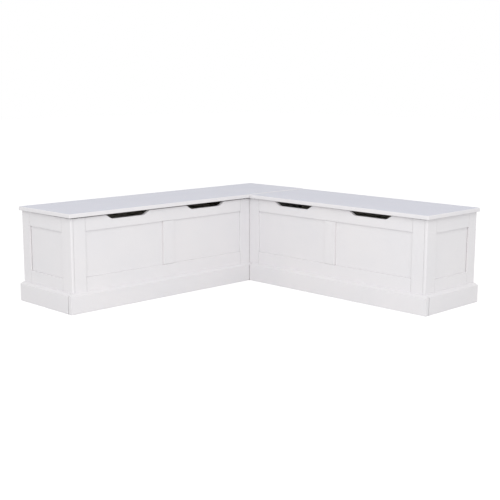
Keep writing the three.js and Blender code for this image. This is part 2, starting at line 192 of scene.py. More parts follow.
class CornerBenchStage(bpy.types.PropertyGroup):
    """Camera, lights and floor"""

    camera_place: bpy.props.FloatVectorProperty(
        name="Camera place", description="Where the camera stands", default=(-3.1111, -3.1406, 1.0244),
        size=3, subtype="TRANSLATION", unit="LENGTH",
    )
    camera_turn: angle_property("Camera turn", "Turned from +Y towards +X", math.radians(44.789))
    camera_tilt: angle_property("Camera tilt", "Tilted down from level", math.radians(9.984))
    camera_roll: angle_property("Camera roll", "Turned about its own line of sight", math.radians(0.147))
    camera_lens: bpy.props.FloatProperty(
        name="Lens", description="Focal length on a 36 mm sensor", default=68.738, unit="CAMERA"
    )
    sky: bpy.props.FloatProperty(
        name="Sky", description="Strength of the even light from all round", default=0.8, min=0.0
    )
    key_power: bpy.props.FloatProperty(
        name="Key light", description="Power of the large soft lamp", default=126.0, min=0.0, unit="POWER"
    )
    key_place: bpy.props.FloatVectorProperty(
        name="Key place", description="Where the soft lamp hangs", default=(-3.4, -3.4, 2.5),
        size=3, subtype="TRANSLATION", unit="LENGTH",
    )
    key_size: length_property("Key size", "Side of the soft lamp's square", 4.4)
    floor_lift: bpy.props.FloatProperty(
        name="Floor lift", description="How much paler the camera sees the floor", default=0.48, min=0.0
    )
    floor_size: length_property("Floor size", "Side of the floor's square", 40.0)


# Places and directions on a bench


def at(bench, u, d, z):
    """The point of a bench that is u along it, d forward from its back and z above the floor."""
    along, across = FREE_END + u, BACK - d
    return Vector((along, across, z)) if bench == "long" else Vector((across, along, z))


def way(bench, direction):
    """The unit vector of a direction of a bench."""
    u, d = {"inwards": (1, 0), "outwards": (-1, 0), "forward": (0, 1), "back": (0, -1)}[direction]
    return at(bench, u, d, 0) - at(bench, 0, 0, 0)


def axis_of(bench, direction):
    """The index of the axis that a direction of a bench lies on."""
    if direction == "up":
        return 2
    return int((direction == "along") != (bench == "long"))


def along_of(bench, corner):
    """How far along a bench a corner of a box lies."""
    return corner[axis_of(bench, "along")] - FREE_END


def lid_axes(bench):
    """The hinge pin's place, and which way is forward and up on the lid at rest."""
    joint = next(j for j in frame["joints"] if j["name"] == f"{bench}_lid_hinge")
    mount = next(m for m in frame["record"]["mounts"] if m["name"] == f"{bench}_seat_top")
    up = Vector(mount["axis"]).normalized()
    along = way(bench, "inwards")
    forward = along.cross(up) if bench == "long" else up.cross(along)
    return Vector(joint["pos_m"]), forward, up


def facing(place, normal, turn=0.0):
    """A matrix that puts a fixing at a place with its head towards the normal."""
    upright = Vector(normal).to_track_quat("Z", "Y").to_matrix().to_4x4()
    return Matrix.Translation(place) @ upright @ Matrix.Rotation(turn, 4, "Z")


# Meshes of small fixings, each as vertices and faces about its own axis


def turned(profile, sides=32):
    """A profile of (radius, height) points turned about Z. A point on the axis closes the shape."""
    points, rings, faces = [], [], []
    for radius, height in profile:
        count = sides if radius > 0 else 1
        rings.append(range(len(points), len(points) + count))
        for index in range(count):
            angle = 2 * math.pi * index / sides
            points.append((radius * math.cos(angle), radius * math.sin(angle), height))
    for low, high in zip(rings, rings[1:]):
        for index in range(sides):
            after = (index + 1) % sides
            steps = ((low, index), (low, after), (high, after), (high, index))
            faces.append(list(dict.fromkeys(ring[step % len(ring)] for ring, step in steps)))
    return points, faces


def driven_head(radius, rise, sector, count, depth, taper=0.7, steps=6):
    """A low head with a recess, from rise below its own height to rise above it.

    sector is the recess's outline between two of its count radial lines. The recess narrows by taper
    towards its floor, and the rim has steps sides to each sector.
    """
    sides = count * steps
    flat = 0.93 * radius
    points, faces, rings = [], [], []
    for ring_radius, height in ((radius, -rise), (radius, rise / 2), (flat, rise)):
        rings.append([len(points) + index for index in range(sides)])
        for index in range(sides):
            angle = 2 * math.pi * index / sides
            points.append((ring_radius * math.cos(angle), ring_radius * math.sin(angle), height))
    for low, high in zip(rings, rings[1:]):
        for index in range(sides):
            after = (index + 1) % sides
            faces.append([low[index], low[after], high[after], high[index]])
    outline = []
    for part in range(count):
        turn = Matrix.Rotation(2 * math.pi * part / count, 2)
        outline += [turn @ Vector(point) for point in sector[:-1]]
    total, each = len(outline), len(sector) - 1
    top = [len(points) + index for index in range(total)]
    points += [(x, y, rise) for x, y in outline]
    bottom = [len(points) + index for index in range(total)]
    points += [(taper * x, taper * y, rise - depth) for x, y in outline]
    for part in range(count):
        arc = [rings[-1][(part * steps + index) % sides] for index in range(steps + 1)]
        inner = [top[(part * each + index) % total] for index in range(each + 1)]
        faces.append(arc + inner[::-1])
    for index in range(total):
        after = (index + 1) % total
        faces.append([top[index], top[after], bottom[after], bottom[index]])
    faces.append(bottom)
    faces.append(rings[0][::-1])
    return points, faces


def cross_screw(radius, rise=0.0002):
    """A countersunk screw's head with a cross recess."""
    arm, half, depth = 0.58 * radius, 0.14 * radius, 0.35 * radius
    sector = [(arm, 0), (arm, half), (half, half), (half, arm), (0, arm)]
    return driven_head(radius, rise, sector, count=4, depth=depth)


def socket_head(radius, rise, socket, depth):
    """A low bolt head with a hexagon socket. socket is the radius of the socket's corners."""
    corner = (socket * math.cos(math.pi / 3), socket * math.sin(math.pi / 3))
    return driven_head(radius, rise, [(socket, 0), corner], count=6, depth=depth, taper=1.0, steps=5)


def piece(name, body, material, shapes):
    """Makes one piece of several copies of small meshes: shapes is a list of ((points, faces), matrix)."""
    points, faces = [], []
    for (own_points, own_faces), matrix in shapes:
        first = len(points)
        points += [matrix @ Vector(point) for point in own_points]
        faces += [[first + index for index in face] for face in own_faces]
    mesh = bpy.data.meshes.new(name)
    mesh.from_pydata(points, [], faces)
    mesh.validate()
    mesh.shade_smooth()
    mesh.set_sharp_from_angle(angle=SHARP_ON_FIXINGS)
    mesh.materials.append(material)
    made = bpy.data.objects.new(name, mesh)
    bpy.context.scene.collection.objects.link(made)
    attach(made, body)
    return made


# Materials


def node(tree, kind, inputs=None, **settings):
    """Adds a node, with its settings and with its inputs set to values or linked to sockets."""
    made = tree.nodes.new(kind)
    for key, value in settings.items():
        setattr(made, key, value)
    for key, value in (inputs or {}).items():
        if isinstance(value, bpy.types.NodeSocket):
            tree.links.new(value, made.inputs[key])
        else:
            made.inputs[key].default_value = value
    return made


def blank(name):
    """A new material, its node tree and its shader."""
    material = bpy.data.materials.new(name)
    material.use_nodes = True
    tree = material.node_tree
    return material, tree, tree.nodes["Principled BSDF"]


def shade(colour, factor, warmth=0.0):
    """A colour made lighter or darker by a factor, and warmer or cooler."""
    red, green, blue = colour
    return (red * factor * (1 + warmth), green * factor, blue * factor * (1 - warmth), 1.0)


def noise(tree, place, scale=1.0, detail=2.0, roughness=0.5):
    """Noise about 0.5. scale is its repeats per unit of the coordinates."""
    inputs = {"Vector": place, "Scale": scale, "Detail": detail, "Roughness": roughness}
    return node(tree, "ShaderNodeTexNoise", inputs).outputs["Fac"]


def stretched(tree, place, grain, along, across):
    """Coordinates that make a texture run along the grain axis, in repeats per metre."""
    scale = [along if axis == grain else across for axis in range(3)]
    return node(tree, "ShaderNodeMapping", {"Vector": place, "Scale": scale}).outputs["Vector"]


def ranged(tree, value, low, high, start=0.3, end=0.7):
    """A value between start and end, spread from low to high."""
    inputs = {"Value": value, "From Min": start, "From Max": end, "To Min": low, "To Max": high}
    return node(tree, "ShaderNodeMapRange", inputs).outputs["Result"]


def mixed(tree, factor, first, second):
    """The colour that lies by a factor between two others."""
    inputs = {MIX_FACTOR: factor, MIX_FIRST: first, MIX_SECOND: second}
    return node(tree, "ShaderNodeMix", inputs, data_type="RGBA").outputs[MIX_RESULT]


def patchy(tree, patches, colour):
    """A colour that is a little paler and warmer in patches."""
    deeper, paler, warmth = 0.985, 1.01, 0.004
    return mixed(tree, patches, shade(colour, deeper, -warmth), shade(colour, paler, warmth))


def vector_math(tree, operation, first, second):
    """The result of a node that works on two vectors, whether it is a vector or a number."""
    outputs = node(tree, "ShaderNodeVectorMath", {0: first, 1: second}, operation=operation).outputs
    return outputs["Value" if operation in ("DOT_PRODUCT", "DISTANCE") else "Vector"]


def weighted_sum(tree, first, first_weight, second, second_weight):
    """Two values added, each times its weight."""
    scaled = node(tree, "ShaderNodeMath", {0: first, 1: first_weight}, operation="MULTIPLY").outputs[0]
    inputs = {0: second, 1: second_weight, 2: scaled}
    return node(tree, "ShaderNodeMath", inputs, operation="MULTIPLY_ADD").outputs[0]


def bumped(tree, shader, height, distance, strength=0.5):
    """Gives a shader fine relief."""
    made = node(tree, "ShaderNodeBump", {"Height": height, "Distance": distance, "Strength": strength})
    tree.links.new(made.outputs["Normal"], shader.inputs["Normal"])


def seen_directly(tree):
    """1 for rays from the camera, off shiny surfaces and through clear ones, else 0."""
    paths = node(tree, "ShaderNodeLightPath").outputs
    seen = paths["Is Camera Ray"]
    for ray in ("Is Glossy Ray", "Is Transmission Ray"):
        seen = node(tree, "ShaderNodeMath", {0: seen, 1: paths[ray]}, operation="MAXIMUM").outputs[0]
    return seen


def paint(name, colour, grain, joint, painted_shade_sides=(), face_colour=None):
    """Satin paint with faint brush marks along the grain.

    It is darker down in the joints, by painted shade and dirt there, and darker on some edges beside a
    recessed panel, by painted shade. joint is the widest gap that counts as a joint. painted_shade_sides are the
    ways that those shaded edges face. face_colour is for the top of a lid.
    """
    if name in bpy.data.materials:
        return bpy.data.materials[name]
    material, tree, shader = blank(name)
    coordinates = node(tree, "ShaderNodeTexCoord")
    place = coordinates.outputs["Object"]
    strokes = noise(tree, stretched(tree, place, grain, along=14, across=520), detail=3.0)
    peel = noise(tree, place, scale=340.0)
    patches = ranged(tree, noise(tree, place, scale=4.5), low=0.0, high=1.0)
    tone = patchy(tree, patches, colour)
    if face_colour is not None:
        upward = node(tree, "ShaderNodeSeparateXYZ", {0: coordinates.outputs["Normal"]}).outputs["Z"]
        on_top = ranged(tree, upward, low=0.0, high=1.0, start=0.75, end=0.98)
        tone = mixed(tree, on_top, tone, patchy(tree, patches, face_colour))
    streaks = ranged(tree, strokes, low=0.0, high=0.035)
    tone = mixed(tree, streaks, tone, shade(colour, factor=0.82))
    # Painted shade on the edges beside a recessed panel that face these sides
    for side in painted_shade_sides:
        facing_side = vector_math(tree, "DOT_PRODUCT", coordinates.outputs["Normal"], side)
        side_shade = ranged(tree, facing_side, low=0.0, high=1.0, start=0.7, end=0.95)
        tone = mixed(tree, side_shade, tone, shade(colour, factor=0.96, warmth=0.01))
    # Painted shade and dirt down in narrow joints and gaps, where little open space lies round a point
    openness = node(tree, "ShaderNodeAmbientOcclusion", {"Distance": joint}, samples=8).outputs["AO"]
    joint_dirt_and_shade = ranged(tree, openness, low=1.0, high=0.0, start=0.08, end=0.46)
    tone = mixed(tree, joint_dirt_and_shade, tone, shade(colour, factor=0.22, warmth=0.12))
    tree.links.new(tone, shader.inputs["Base Color"])
    tree.links.new(ranged(tree, peel, low=0.42, high=0.54), shader.inputs["Roughness"])
    height = weighted_sum(tree, strokes, 0.6, peel, 0.4)
    bumped(tree, shader, height, distance=0.00012)
    shader.inputs["Specular IOR Level"].default_value = 0.4
    return material


def plywood(name, colour, grain):
    """Pale sealed plywood: broad soft figure, fine fibres and short pores along the grain."""
    if name in bpy.data.materials:
        return bpy.data.materials[name]
    material, tree, shader = blank(name)
    place = node(tree, "ShaderNodeTexCoord").outputs["Object"]
    ring_span = 9.0
    figure = noise(tree, stretched(tree, place, grain, along=1.4, across=11), detail=4.0, roughness=0.6)
    rings = node(tree, "ShaderNodeMath", {0: figure, 1: ring_span}, operation="MULTIPLY").outputs[0]
    rings = node(tree, "ShaderNodeMath", {0: rings}, operation="SINE").outputs[0]
    fibres = noise(tree, stretched(tree, place, grain, along=16, across=900), detail=3.0, roughness=0.6)
    pores = noise(tree, stretched(tree, place, grain, along=60, across=1500), detail=1.0)
    in_ring = ranged(tree, rings, low=0.0, high=1.0, start=-1.0, end=1.0)
    tone = mixed(tree, in_ring, shade(colour, factor=1.04), shade(colour, factor=0.86, warmth=0.03))
    in_fibre = ranged(tree, fibres, low=0.0, high=0.3)
    tone = mixed(tree, in_fibre, tone, shade(colour, factor=0.7, warmth=0.05))
    in_pore = ranged(tree, pores, low=0.0, high=0.5, start=0.68, end=0.76)
    tone = mixed(tree, in_pore, tone, shade(colour, factor=0.45, warmth=0.08))
    tree.links.new(tone, shader.inputs["Base Color"])
    tree.links.new(ranged(tree, fibres, low=0.5, high=0.68), shader.inputs["Roughness"])
    height = weighted_sum(tree, fibres, 0.7, pores, 0.3)
    bumped(tree, shader, height, distance=0.00015)
    shader.inputs["Specular IOR Level"].default_value = 0.35
    return material


def plated_steel(name, colour, grain=0):
    """Plated steel with fine rolling marks and a slightly cloudy plating."""
    if name in bpy.data.materials:
        return bpy.data.materials[name]
    material, tree, shader = blank(name)
    place = node(tree, "ShaderNodeTexCoord").outputs["Object"]
    marks = noise(tree, stretched(tree, place, grain, along=60, across=2400))
    clouds = noise(tree, place, scale=70.0, detail=4.0, roughness=0.6)
    duller, brighter = shade(colour, factor=0.94), shade(colour, factor=1.06, warmth=0.01)
    tone = mixed(tree, ranged(tree, clouds, low=0.0, high=1.0), duller, brighter)
    tree.links.new(tone, shader.inputs["Base Color"])
    tree.links.new(ranged(tree, marks, low=0.26, high=0.42), shader.inputs["Roughness"])
    bumped(tree, shader, marks, distance=0.00004, strength=0.4)
    shader.inputs["Metallic"].default_value = 1.0
    return material


def moulded_rubber(name, colour):
    """Rubber with a little dust and a fine moulded grain."""
    material, tree, shader = blank(name)
    place = node(tree, "ShaderNodeTexCoord").outputs["Object"]
    grain = noise(tree, place, scale=1800.0, detail=3.0)
    dust = noise(tree, place, scale=160.0)
    dusty = ranged(tree, dust, low=0.0, high=1.0)
    tone = mixed(tree, dusty, shade(colour, factor=0.9), shade(colour, factor=1.15))
    tree.links.new(tone, shader.inputs["Base Color"])
    tree.links.new(ranged(tree, grain, low=0.62, high=0.8), shader.inputs["Roughness"])
    bumped(tree, shader, grain, distance=0.00006)
    return material


# Finish of the carried-over nodes


def geometry_group(name):
    """A new group of geometry nodes, and the geometry that goes into it."""
    group = bpy.data.node_groups.new(name, "GeometryNodeTree")
    group.interface.new_socket("Geometry", in_out="INPUT", socket_type="NodeSocketGeometry")
    group.interface.new_socket("Geometry", in_out="OUTPUT", socket_type="NodeSocketGeometry")
    return group, node(group, "NodeGroupInput").outputs[0]


def compared(group, value, operation, limit):
    """Whether a value is above or below a limit, by the operation."""
    return node(group, "FunctionNodeCompare", {0: value, 1: limit}, operation=operation).outputs[0]


def sharper_than(group, limit):
    """Whether the faces at an edge meet at more than an angle."""
    angle = node(group, "GeometryNodeInputMeshEdgeAngle").outputs["Unsigned Angle"]
    return compared(group, angle, "GREATER_THAN", limit)


def chosen(group, condition, otherwise, then):
    """One of two numbers, by a condition."""
    inputs = {"Switch": condition, "False": otherwise, "True": then}
    return node(group, "GeometryNodeSwitch", inputs, input_type="FLOAT").outputs[0]


def plinth_edges(bench, label, outward, share):
    """A node group that says how far each edge of a plinth board is eased.

    The edges at the corner joint are eased in full, those against the frame not at all, others by a share.
    The joint's edges are those within joint_reach of an upright line that is joint_depth behind the end
    board's face, apart from the ones on the floor.
    """
    joint_depth = 0.005
    joint_reach = 0.012
    floor_reach = 0.01
    contact = 0.0001
    end_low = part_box(f"{bench}_plinth_end")[0]
    front_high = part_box(f"{bench}_plinth_front")[1]
    across = axis_of(bench, "across")
    along = axis_of(bench, "along")
    joint = Vector((0, 0, 0))
    joint[across] = (end_low[across] + front_high[across]) / 2
    joint[along] = end_low[along] + joint_depth
    group, start = geometry_group(f"{bench} {label} edges")
    place = node(group, "GeometryNodeInputPosition").outputs[0]
    seat = min(outward.dot(corner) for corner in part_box(f"{bench}_{label}"))
    ahead = vector_math(group, "DOT_PRODUCT", place, outward)
    resting = compared(group, ahead, "LESS_THAN", seat + contact)
    aside = vector_math(group, "DISTANCE", vector_math(group, "MULTIPLY", place, (1, 1, 0)), joint)
    height = node(group, "ShaderNodeSeparateXYZ", {0: place}).outputs["Z"]
    beside_joint = compared(group, aside, "LESS_THAN", joint_reach)
    off_floor = compared(group, height, "GREATER_THAN", floor_reach)
    at_joint = node(group, "FunctionNodeBooleanMath", {0: beside_joint, 1: off_floor}, operation="AND")
    eased = chosen(group, at_joint.outputs[0], chosen(group, resting, share, 0.0), 1.0)
    weight = chosen(group, sharper_than(group, EASED_FROM), 0.0, eased)
    inputs = {"Geometry": start, "Name": "bevel_weight_edge", "Value": weight}
    stored = node(group, "GeometryNodeStoreNamedAttribute", inputs, data_type="FLOAT", domain="EDGE")
    node(group, "NodeGroupOutput", {0: stored.outputs[0]})
    return group


def smooth_faces():
    """A node group that smooths all faces, but keeps an edge sharp where its faces meet at an angle."""
    name = "Smooth faces"
    if name in bpy.data.node_groups:
        return bpy.data.node_groups[name]
    group, start = geometry_group(name)
    sharp = sharper_than(group, SHARP_FROM)
    inputs = {"Geometry": start, "Shade Smooth": True}
    faces = node(group, "GeometryNodeSetShadeSmooth", inputs, domain="FACE")
    inputs = {"Geometry": faces.outputs[0], "Selection": sharp, "Shade Smooth": False}
    edges = node(group, "GeometryNodeSetShadeSmooth", inputs, domain="EDGE")
    node(group, "NodeGroupOutput", {0: edges.outputs[0]})
    return group


def dress(name, material, edge, weights=None):
    """Gives a node its material and eased edges, by modifiers, so its mesh stays as it is.

    weights is a node group that weighs the edges.
    """
    target = frame["nodes"][name]
    target.data.materials.clear()
    target.data.materials.append(material)
    weld = target.modifiers.new("Shared corners", "WELD")
    weld.merge_threshold = SHARED_CORNER
    whole = target.modifiers.new("Whole faces", "DECIMATE")
    whole.decimate_type = "DISSOLVE"
    whole.angle_limit = SAME_FACE
    if weights:
        target.modifiers.new("Edge weights", "NODES").node_group = weights
    if edge > 0:
        eased = target.modifiers.new("Eased edges", "BEVEL")
        eased.width = edge
        eased.segments = 3
        eased.loop_slide = False
        eased.limit_method = "WEIGHT" if weights else "ANGLE"
        eased.angle_limit = EASED_FROM
    target.modifiers.new("Smooth faces", "NODES").node_group = smooth_faces()
    weighted = target.modifiers.new("Face normals", "WEIGHTED_NORMAL")
    weighted.keep_sharp = True


# The steps that make the bench


class MakeStage(bpy.types.Operator):
    """Sets up the camera, the soft lights, the white surroundings and the pale floor"""

    bl_idname = "corner_bench.stage"
    bl_label = "Stage"

    def execute(self, context):
        scene = context.scene
        stage = scene.corner_bench_stage
        scene.view_settings.view_transform = "Standard"
        self.make_camera(scene, stage)
        self.make_world(scene, stage)
        self.make_key_light(scene, stage)
        self.make_floor(scene, stage)
        return {"FINISHED"}

    def make_camera(self, scene, stage):
        data = bpy.data.cameras.new("camera")
        data.sensor_width = 36.0
        data.lens = stage.camera_lens
        data.clip_end = 100.0
        camera = bpy.data.objects.new("camera", data)
        turned_round = Matrix.Rotation(-stage.camera_turn, 4, "Z")
        tilted = turned_round @ Matrix.Rotation(RIGHT_ANGLE - stage.camera_tilt, 4, "X")
        rolled = tilted @ Matrix.Rotation(stage.camera_roll, 4, "Z")
        camera.matrix_world = Matrix.Translation(stage.camera_place) @ rolled
        scene.collection.objects.link(camera)
        scene.camera = camera

    def make_world(self, scene, stage):
        """An even sky, which the camera, reflections and glass see as plain white."""
        world = bpy.data.worlds.new("soft_sky")
        world.use_nodes = True
        tree = world.node_tree
        seen = seen_directly(tree)
        strength = node(tree, "ShaderNodeMapRange", {"Value": seen, "To Min": stage.sky, "To Max": 1.0})
        background = tree.nodes["Background"]
        background.inputs["Color"].default_value = (1.0, 1.0, 1.0, 1.0)
        tree.links.new(strength.outputs["Result"], background.inputs["Strength"])
        scene.world = world

    def make_key_light(self, scene, stage):
        data = bpy.data.lights.new("key_light", "AREA")
        data.shape = "SQUARE"
        data.size = stage.key_size
        data.energy = stage.key_power
        lamp = bpy.data.objects.new("key_light", data)
        aim = (-Vector(stage.key_place)).to_track_quat("-Z", "Y").to_matrix().to_4x4()
        lamp.matrix_world = Matrix.Translation(stage.key_place) @ aim
        scene.collection.objects.link(lamp)

    def make_floor(self, scene, stage):
        """A matt floor that the camera sees paler than it lights the bench. It keeps the bench's shadow."""
        half = stage.floor_size / 2
        level = -0.0002
        mesh = bpy.data.meshes.new("pale_floor")
        corners = [(-half, -half, level), (half, -half, level), (half, half, level), (-half, half, level)]
        mesh.from_pydata(corners, [], [(0, 1, 2, 3)])
        material = bpy.data.materials.new("pale_floor")
        material.use_nodes = True
        tree = material.node_tree
        tree.nodes.remove(tree.nodes["Principled BSDF"])
        colour = (*scene.corner_bench_colours.floor, 1.0)
        matt = node(tree, "ShaderNodeBsdfDiffuse", {"Color": colour})
        seen = seen_directly(tree)
        lift = node(tree, "ShaderNodeMath", {0: seen, 1: stage.floor_lift}, operation="MULTIPLY")
        glow = node(tree, "ShaderNodeEmission", {"Strength": lift.outputs[0]})
        both = node(tree, "ShaderNodeAddShader", {0: matt.outputs[0], 1: glow.outputs[0]})
        tree.links.new(both.outputs[0], tree.nodes["Material Output"].inputs["Surface"])
        mesh.materials.append(material)
        floor = bpy.data.objects.new("pale_floor", mesh)
        scene.collection.objects.link(floor)


class FinishFrames(bpy.types.Operator):
    """Paints the framed and panelled fronts and ends, and the plain boards where the benches meet"""

    bl_idname = "corner_bench.frames"
    bl_label = "Frames and panels"

    def execute(self, context):
        colour = context.scene.corner_bench_colours.frame_paint
        sizes = context.scene.corner_bench_sizes
        for bench in BENCHES:
            for label, direction in MEMBERS.items():
                edge = sizes.panel_edge if label.endswith("panel") else sizes.frame_edge
                grain = axis_of(bench, direction)
                # The ways that this member's edges with painted shade face, beside its recessed panel
                sides = [way(bench, side) for side in RECESS_SIDES.get(label, ())]
                name = f"{bench}_{label}_paint" if sides else f"frame_paint_{'xyz'[grain]}"
                dress(f"{bench}_{label}", paint(name, colour, grain, sizes.frame_joint, sides), edge)
        for name, direction in HIDDEN_BOARDS.items():
            grain = axis_of("long", direction)
            material = paint(f"frame_paint_{'xyz'[grain]}", colour, grain, sizes.frame_joint)
            dress(name, material, sizes.frame_edge)
        return {"FINISHED"}


class FinishPlinths(bpy.types.Operator):
    """Paints the plinth boards and eases their edges"""

    bl_idname = "corner_bench.plinths"
    bl_label = "Plinths"

    def execute(self, context):
        colour = context.scene.corner_bench_colours.frame_paint
        sizes = context.scene.corner_bench_sizes
        share = sizes.plinth_edge / sizes.plinth_joint_edge
        for bench in BENCHES:
            for label, (direction, side) in PLINTHS.items():
                grain = axis_of(bench, direction)
                material = paint(f"plinth_paint_{'xyz'[grain]}", colour, grain, sizes.plinth_joint)
                weights = plinth_edges(bench, label, way(bench, side), share)
                dress(f"{bench}_{label}", material, sizes.plinth_joint_edge, weights)
        return {"FINISHED"}


class FinishLids(bpy.types.Operator):
    """Paints the lids: a cool face on top, and edges and underside like the frames"""

    bl_idname = "corner_bench.lids"
    bl_label = "Lids"

    def execute(self, context):
        colours = context.scene.corner_bench_colours
        joint = context.scene.corner_bench_sizes.frame_joint
        for bench in BENCHES:
            grain = axis_of(bench, "along")
            name = f"lid_paint_{'xyz'[grain]}"
            material = paint(name, colours.frame_paint, grain, joint, face_colour=colours.lid_paint)
            dress(f"{bench}_lid", material, 0.0)
        return {"FINISHED"}


class FinishInnerBoards(bpy.types.Operator):
    """Gives the backs, hinge rails and floors their plywood, and fixes the backs with panel pins"""

    bl_idname = "corner_bench.inner_boards"
    bl_label = "Inner boards"

    def execute(self, context):
        colours = context.scene.corner_bench_colours
        sizes = context.scene.corner_bench_sizes
        for bench in BENCHES:
            for label, direction in INNER_BOARDS.items():
                grain = axis_of(bench, direction)
                board = plywood(f"inner_board_{'xyz'[grain]}", colours.board, grain)
                dress(f"{bench}_{label}", board, sizes.board_edge)
            self.pin_back(bench, sizes, plated_steel("pin_steel", colours.stay_steel))
        return {"FINISHED"}

    def pin_back(self, bench, sizes, material):
        """A row of domed pins along the top of the back board, and one at the height of the floor board."""
        low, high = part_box(f"{bench}_back_board")
        start, end = sorted((along_of(bench, low), along_of(bench, high)))
        rear = BACK - high[axis_of(bench, "across")]
        inset = 0.012
        shoulder, dome = 0.0005, 0.0007
        rows = [high.z - inset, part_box(f"{bench}_floor_board")[0].z + inset / 2]
        count = round((end - start - 2 * inset) / sizes.pin_spacing)
        outward = way(bench, "back")
        radius = sizes.pin_head
        head = turned([(0, 0), (radius, 0), (radius * 0.8, shoulder), (0, dome)], sides=16)
        shapes = []
        for z in rows:
            for index in range(count + 1):
                u = start + inset + (end - start - 2 * inset) * index / count
                shapes.append((head, facing(at(bench, u, rear, z), outward)))
        piece(f"{bench}_back_pins", "carcass", material, shapes)


class FinishHinges(bpy.types.Operator):
    """Finishes the strip hinges and puts in their screws"""

    bl_idname = "corner_bench.hinges"
    bl_label = "Hinges"

    def execute(self, context):
        colours = context.scene.corner_bench_colours
        sizes = context.scene.corner_bench_sizes
        for bench in BENCHES:
            grain = axis_of(bench, "along")
            steel = plated_steel(f"hinge_steel_{'xyz'[grain]}", colours.hinge_steel, grain)
            for label in ("hinge_box_leaf", "hinge_lid_leaf", "hinge_pin"):
                dress(f"{bench}_{label}", steel, sizes.hinge_edge)
            self.screw_leaves(bench, sizes, steel)
        return {"FINISHED"}

    def screw_leaves(self, bench, sizes, steel):
        """Countersunk screws in the inner faces of both leaves, one over the other when the lid is shut.

        Those faces lie a little higher than the pin's axis, by box_face and lid_face.
        """
        box_face = 0.0004
        lid_face = 0.001
        pin, forward, up = lid_axes(bench)
        level = way(bench, "forward")
        low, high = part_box(f"{bench}_hinge_pin")
        start, end = sorted((along_of(bench, low), along_of(bench, high)))
        count = round((end - start) / sizes.hinge_screw_spacing)
        screw = cross_screw(sizes.screw_head)
        in_box, in_lid = [], []
        for index in range(count):
            u = start + (end - start) * (index + 0.5) / count
            at_pin = at(bench, u, 0, pin.z)
            at_pin[axis_of(bench, "across")] = pin[axis_of(bench, "across")]
            box_place = at_pin + level * sizes.hinge_screw_setback + Vector((0, 0, box_face))
            lid_place = at_pin + forward * sizes.hinge_screw_setback + up * lid_face
            in_box.append((screw, facing(box_place, (0, 0, 1), index * GOLDEN_ANGLE)))
            in_lid.append((screw, facing(lid_place, -up, index * GOLDEN_ANGLE)))
        piece(f"{bench}_hinge_box_screws", "carcass", steel, in_box)
        piece(f"{bench}_hinge_lid_screws", f"{bench}_lid", steel, in_lid)


class FinishStays(bpy.types.Operator):
    """Finishes the folding stays, and adds their screws and washers"""

    bl_idname = "corner_bench.stays"
    bl_label = "Stays"

    def execute(self, context):
        colours = context.scene.corner_bench_colours
        sizes = context.scene.corner_bench_sizes
        for bench in BENCHES:
            grain = axis_of(bench, "across")
            steel = plated_steel(f"stay_steel_{'xyz'[grain]}", colours.stay_steel, grain)
            for label in ("wall_plate", "lower_arm", "upper_arm", "lid_bracket"):
                dress(f"{bench}_stay_{label}", steel, sizes.stay_edge)
            self.screw_wall_plate(bench, sizes, steel)
            self.screw_lid_bracket(bench, sizes, steel)
            self.add_washers(bench, sizes, steel)
        return {"FINISHED"}

    def screw_wall_plate(self, bench, sizes, steel):
        """A screw in each corner of the wall plate."""
        inset = 0.0065
        low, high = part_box(f"{bench}_stay_wall_plate")
        across = axis_of(bench, "across")
        face = along_of(bench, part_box(f"{bench}_stay_lower_arm")[0]) - sizes.arm_gap
        inward = way(bench, "inwards")
        depths = (BACK - low[across] - inset, BACK - high[across] + inset)
        screw = cross_screw(sizes.screw_head)
        shapes = []
        for index, (d, z) in enumerate((d, z) for d in depths for z in (low.z + inset, high.z - inset)):
            shapes.append((screw, facing(at(bench, face, d, z), inward, index * GOLDEN_ANGLE)))
        piece(f"{bench}_stay_wall_screws", "carcass", steel, shapes)

    def screw_lid_bracket(self, bench, sizes, steel):
        """A screw near each end of the lid bracket's plate, inset from the plate's inner edge."""
        inset = 0.008
        from_middle = 0.019
        pin, forward, up = lid_axes(bench)
        low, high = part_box(f"{bench}_stay_lid_bracket")
        across = axis_of(bench, "across")
        middle = abs((low[across] + high[across]) / 2 - pin[across])
        at_pin = at(bench, along_of(bench, high) - inset, 0, pin.z)
        at_pin[across] = pin[across]
        screw = cross_screw(sizes.screw_head)
        shapes = []
        for index, shift in enumerate((-from_middle, from_middle)):
            shapes.append((screw, facing(at_pin + forward * (middle + shift), -up, index * GOLDEN_ANGLE)))
        piece(f"{bench}_stay_bracket_screws", f"{bench}_lid", steel, shapes)

    def add_washers(self, bench, sizes, steel):
        """A thin washer at each pivot, on both sides of the arm that turns there."""
        pivots = {joint["name"]: Vector(joint["pos_m"]) for joint in frame["joints"]}
        along = axis_of(bench, "along")
        post = pivots[f"{bench}_stay_lower_pivot"]
        bracket = pivots[f"{bench}_stay_upper_pivot"]
        elbow = post + bracket - pivots[f"{bench}_lid_hinge"]
        elbow[along] = bracket[along]
        low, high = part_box(f"{bench}_stay_upper_arm")
        aside = (high[along] - low[along] + sizes.arm_gap) / 2
        rim, half = sizes.washer_rim, sizes.washer_thickness / 2
        widest = rim * 1.01
        washer = turned([(0, -half), (rim, -half), (widest, 0), (rim, half), (0, half)])
        inward = way(bench, "inwards")
        fixed_to = {
            "post": (post, "carcass"),
            "elbow": (elbow, f"{bench}_stay_lower"),
            "bracket": (bracket, f"{bench}_lid"),
        }
        for label, (pivot, body) in fixed_to.items():
            shapes = [(washer, facing(pivot + side * aside * inward, inward)) for side in (-1, 1)]
            piece(f"{bench}_stay_{label}_washers", body, steel, shapes)


